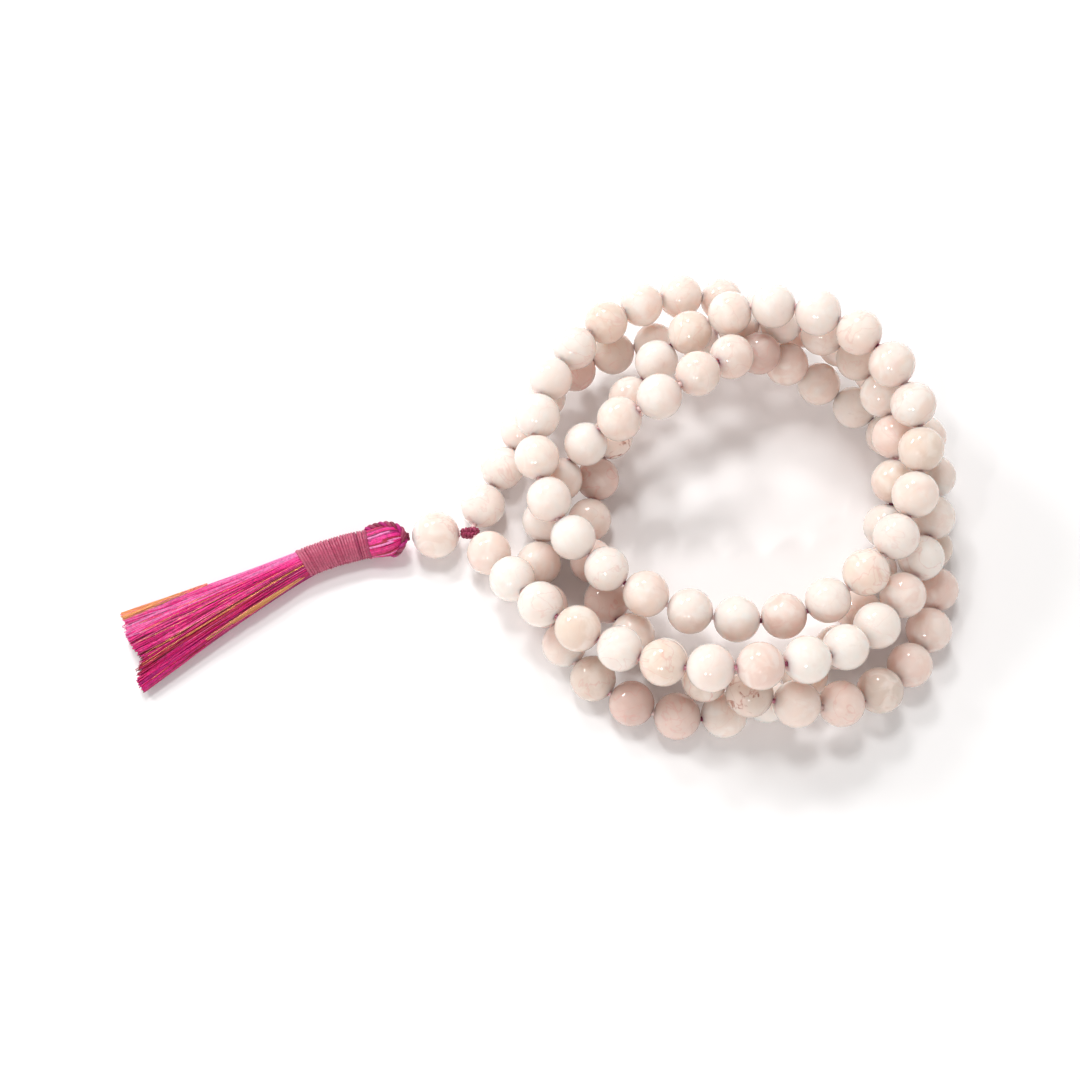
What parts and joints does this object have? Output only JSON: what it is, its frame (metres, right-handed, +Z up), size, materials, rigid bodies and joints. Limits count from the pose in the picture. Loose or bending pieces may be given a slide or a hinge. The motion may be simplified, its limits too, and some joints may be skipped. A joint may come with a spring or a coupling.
{
  "type": "mala prayer beads",
  "caption": "Wound string of round rose quartz prayer beads, with a knotted guru bead and a bound silk tassel, passed bead by bead through the fingers to keep count of recitations.",
  "frame": {"origin": "centre of the footprint of the whole piece as it lies, on the surface it lies on", "axes": "+Z up from the table, -X towards the tips of the tassel, +Y towards the far side of the wound heap"},
  "size_m": [0.1514, 0.0876, 0.0299],
  "materials": {
    "rose_quartz": "polished, slightly translucent",
    "cord": "waxed twisted thread",
    "braided_cord": "braided cord",
    "binding_thread": "tightly wound thread",
    "silk_thread": "loose silky thread",
    "metallic_thread": "metallic thread"
  },
  "bodies": {
    "string": {"strand_cord": "cord", "string_knot": "braided_cord", "bead_run_1": "rose_quartz", "bead_run_2": "rose_quartz", "bead_run_3": "rose_quartz", "bead_run_4": "rose_quartz", "bead_run_5": "rose_quartz", "bead_run_6": "rose_quartz", "bead_run_7": "rose_quartz", "bead_run_8": "rose_quartz", "bead_run_9": "rose_quartz"},
    "guru_stem": {"guru_cord": "cord"},
    "guru": {"guru_bead": "rose_quartz"},
    "tie": {"tassel_tie": "braided_cord"},
    "tassel": {"tassel_head": "silk_thread", "tassel_binding": "binding_thread", "tassel_skirt": "silk_thread", "metallic_threads_left": "metallic_thread", "metallic_threads_right": "metallic_thread"},
    "bead_01": {"bead_01": "rose_quartz"},
    "bead_02": {"bead_02": "rose_quartz"},
    "bead_03": {"bead_03": "rose_quartz"},
    "bead_04": {"bead_04": "rose_quartz"},
    "bead_05": {"bead_05": "rose_quartz"},
    "bead_06": {"bead_06": "rose_quartz"},
    "bead_07": {"bead_07": "rose_quartz"},
    "bead_08": {"bead_08": "rose_quartz"},
    "bead_09": {"bead_09": "rose_quartz"},
    "bead_10": {"bead_10": "rose_quartz"},
    "bead_11": {"bead_11": "rose_quartz"},
    "bead_12": {"bead_12": "rose_quartz"},
    "bead_13": {"bead_13": "rose_quartz"},
    "bead_14": {"bead_14": "rose_quartz"},
    "bead_15": {"bead_15": "rose_quartz"},
    "bead_16": {"bead_16": "rose_quartz"},
    "bead_17": {"bead_17": "rose_quartz"},
    "bead_18": {"bead_18": "rose_quartz"},
    "bead_19": {"bead_19": "rose_quartz"},
    "bead_20": {"bead_20": "rose_quartz"},
    "bead_21": {"bead_21": "rose_quartz"},
    "bead_22": {"bead_22": "rose_quartz"},
    "bead_23": {"bead_23": "rose_quartz"},
    "bead_24": {"bead_24": "rose_quartz"},
    "bead_25": {"bead_25": "rose_quartz"},
    "bead_26": {"bead_26": "rose_quartz"},
    "bead_27": {"bead_27": "rose_quartz"}
  },
  "joints": [
    {"name": "guru_swing", "type": "hinge", "parent": "string", "child": "guru_stem", "pos_m": [-0.01234, -0.00536, 0.0043], "axis": [0, 0, 1], "range_deg": [-16, 26]},
    {"name": "guru_spin", "type": "hinge", "parent": "guru_stem", "child": "guru", "pos_m": [-0.01807, -0.00577, 0.0043], "axis": [-0.9976, -0.0698, 0], "continuous": true},
    {"name": "tassel_swing", "type": "hinge", "parent": "guru_stem", "child": "tie", "pos_m": [-0.02331, -0.00613, 0.0043], "axis": [0, 0, 1], "range_deg": [-30, 30]},
    {"name": "tassel_lift", "type": "hinge", "parent": "tie", "child": "tassel", "pos_m": [-0.02331, -0.00613, 0.0043], "axis": [-0.1045, 0.9945, 0], "range_deg": [0, 32]},
    {"name": "turn_bead_01", "type": "hinge", "parent": "string", "child": "bead_01", "pos_m": [0.00031, 0.00432, 0.01564], "axis": [0.1287, -0.9887, -0.0764], "continuous": true},
    {"name": "turn_bead_02", "type": "hinge", "parent": "string", "child": "bead_02", "pos_m": [0.00246, -0.00338, 0.01463], "axis": [0.3968, -0.902, -0.1701], "continuous": true},
    {"name": "turn_bead_03", "type": "hinge", "parent": "string", "child": "bead_03", "pos_m": [0.00665, -0.01007, 0.0132], "axis": [0.6394, -0.7467, -0.1832], "continuous": true},
    {"name": "turn_bead_04", "type": "hinge", "parent": "string", "child": "bead_04", "pos_m": [0.01242, -0.01548, 0.01191], "axis": [0.7913, -0.5955, -0.1385], "continuous": true},
    {"name": "turn_bead_05", "type": "hinge", "parent": "string", "child": "bead_05", "pos_m": [0.01925, -0.01978, 0.01098], "axis": [0.8836, -0.4595, -0.0899], "continuous": true},
    {"name": "turn_bead_06", "type": "hinge", "parent": "string", "child": "bead_06", "pos_m": [0.02683, -0.02281, 0.01055], "axis": [0.9605, -0.2782, -0.0128], "continuous": true},
    {"name": "turn_bead_07", "type": "hinge", "parent": "string", "child": "bead_07", "pos_m": [0.0348, -0.02437, 0.01075], "axis": [0.9929, -0.1018, 0.0611], "continuous": true},
    {"name": "turn_bead_08", "type": "hinge", "parent": "string", "child": "bead_08", "pos_m": [0.04279, -0.02414, 0.01167], "axis": [0.9734, 0.1589, 0.1652], "continuous": true},
    {"name": "turn_bead_09", "type": "hinge", "parent": "string", "child": "bead_09", "pos_m": [0.05023, -0.02186, 0.01337], "axis": [0.8755, 0.4077, 0.2593], "continuous": true},
    {"name": "turn_bead_10", "type": "hinge", "parent": "string", "child": "bead_10", "pos_m": [0.05673, -0.01761, 0.01556], "axis": [0.7226, 0.6326, 0.2787], "continuous": true},
    {"name": "turn_bead_11", "type": "hinge", "parent": "string", "child": "bead_11", "pos_m": [0.062, -0.01173, 0.01753], "axis": [0.5612, 0.8033, 0.1995], "continuous": true},
    {"name": "turn_bead_12", "type": "hinge", "parent": "string", "child": "bead_12", "pos_m": [0.06553, -0.00466, 0.01933], "axis": [0.3048, 0.9219, 0.2392], "continuous": true},
    {"name": "turn_bead_13", "type": "hinge", "parent": "string", "child": "bead_13", "pos_m": [0.06685, 0.00301, 0.02142], "axis": [0.0129, 0.9615, 0.2746], "continuous": true},
    {"name": "turn_bead_14", "type": "hinge", "parent": "string", "child": "bead_14", "pos_m": [0.06575, 0.01058, 0.02359], "axis": [-0.2852, 0.9211, 0.265], "continuous": true},
    {"name": "turn_bead_15", "type": "hinge", "parent": "string", "child": "bead_15", "pos_m": [0.06234, 0.01767, 0.02527], "axis": [-0.5491, 0.8223, 0.1494], "continuous": true},
    {"name": "turn_bead_16", "type": "hinge", "parent": "string", "child": "bead_16", "pos_m": [0.05701, 0.02373, 0.02586], "axis": [-0.7529, 0.6581, -0.0059], "continuous": true},
    {"name": "turn_bead_17", "type": "hinge", "parent": "string", "child": "bead_17", "pos_m": [0.05025, 0.02819, 0.02525], "axis": [-0.8926, 0.4279, -0.1419], "continuous": true},
    {"name": "turn_bead_18", "type": "hinge", "parent": "string", "child": "bead_18", "pos_m": [0.04274, 0.03061, 0.02357], "axis": [-0.9488, 0.1615, -0.2715], "continuous": true},
    {"name": "turn_bead_19", "type": "hinge", "parent": "string", "child": "bead_19", "pos_m": [0.03523, 0.03081, 0.02091], "axis": [-0.9151, -0.1111, -0.3877], "continuous": true},
    {"name": "turn_bead_20", "type": "hinge", "parent": "string", "child": "bead_20", "pos_m": [0.02826, 0.02884, 0.01746], "axis": [-0.8039, -0.3727, -0.4636], "continuous": true},
    {"name": "turn_bead_21", "type": "hinge", "parent": "string", "child": "bead_21", "pos_m": [0.02231, 0.02482, 0.01376], "axis": [-0.6535, -0.6131, -0.444], "continuous": true},
    {"name": "turn_bead_22", "type": "hinge", "parent": "string", "child": "bead_22", "pos_m": [0.01754, 0.01905, 0.0105], "axis": [-0.5086, -0.7875, -0.3482], "continuous": true},
    {"name": "turn_bead_23", "type": "hinge", "parent": "string", "child": "bead_23", "pos_m": [0.01402, 0.01235, 0.00755], "axis": [-0.3515, -0.8577, -0.3752], "continuous": true},
    {"name": "turn_bead_24", "type": "hinge", "parent": "string", "child": "bead_24", "pos_m": [0.01149, 0.00512, 0.0051], "axis": [-0.2754, -0.9322, -0.2347], "continuous": true},
    {"name": "turn_bead_25", "type": "hinge", "parent": "string", "child": "bead_25", "pos_m": [0.00994, -0.00268, 0.00408], "axis": [-0.1072, -0.9941, -0.0169], "continuous": true},
    {"name": "turn_bead_26", "type": "hinge", "parent": "string", "child": "bead_26", "pos_m": [0.01022, -0.01072, 0.00401], "axis": [0.1738, -0.9848, 0.0011], "continuous": true},
    {"name": "turn_bead_27", "type": "hinge", "parent": "string", "child": "bead_27", "pos_m": [0.01275, -0.01847, 0.00412], "axis": [0.4397, -0.8978, 0.0259], "continuous": true}
  ]
}
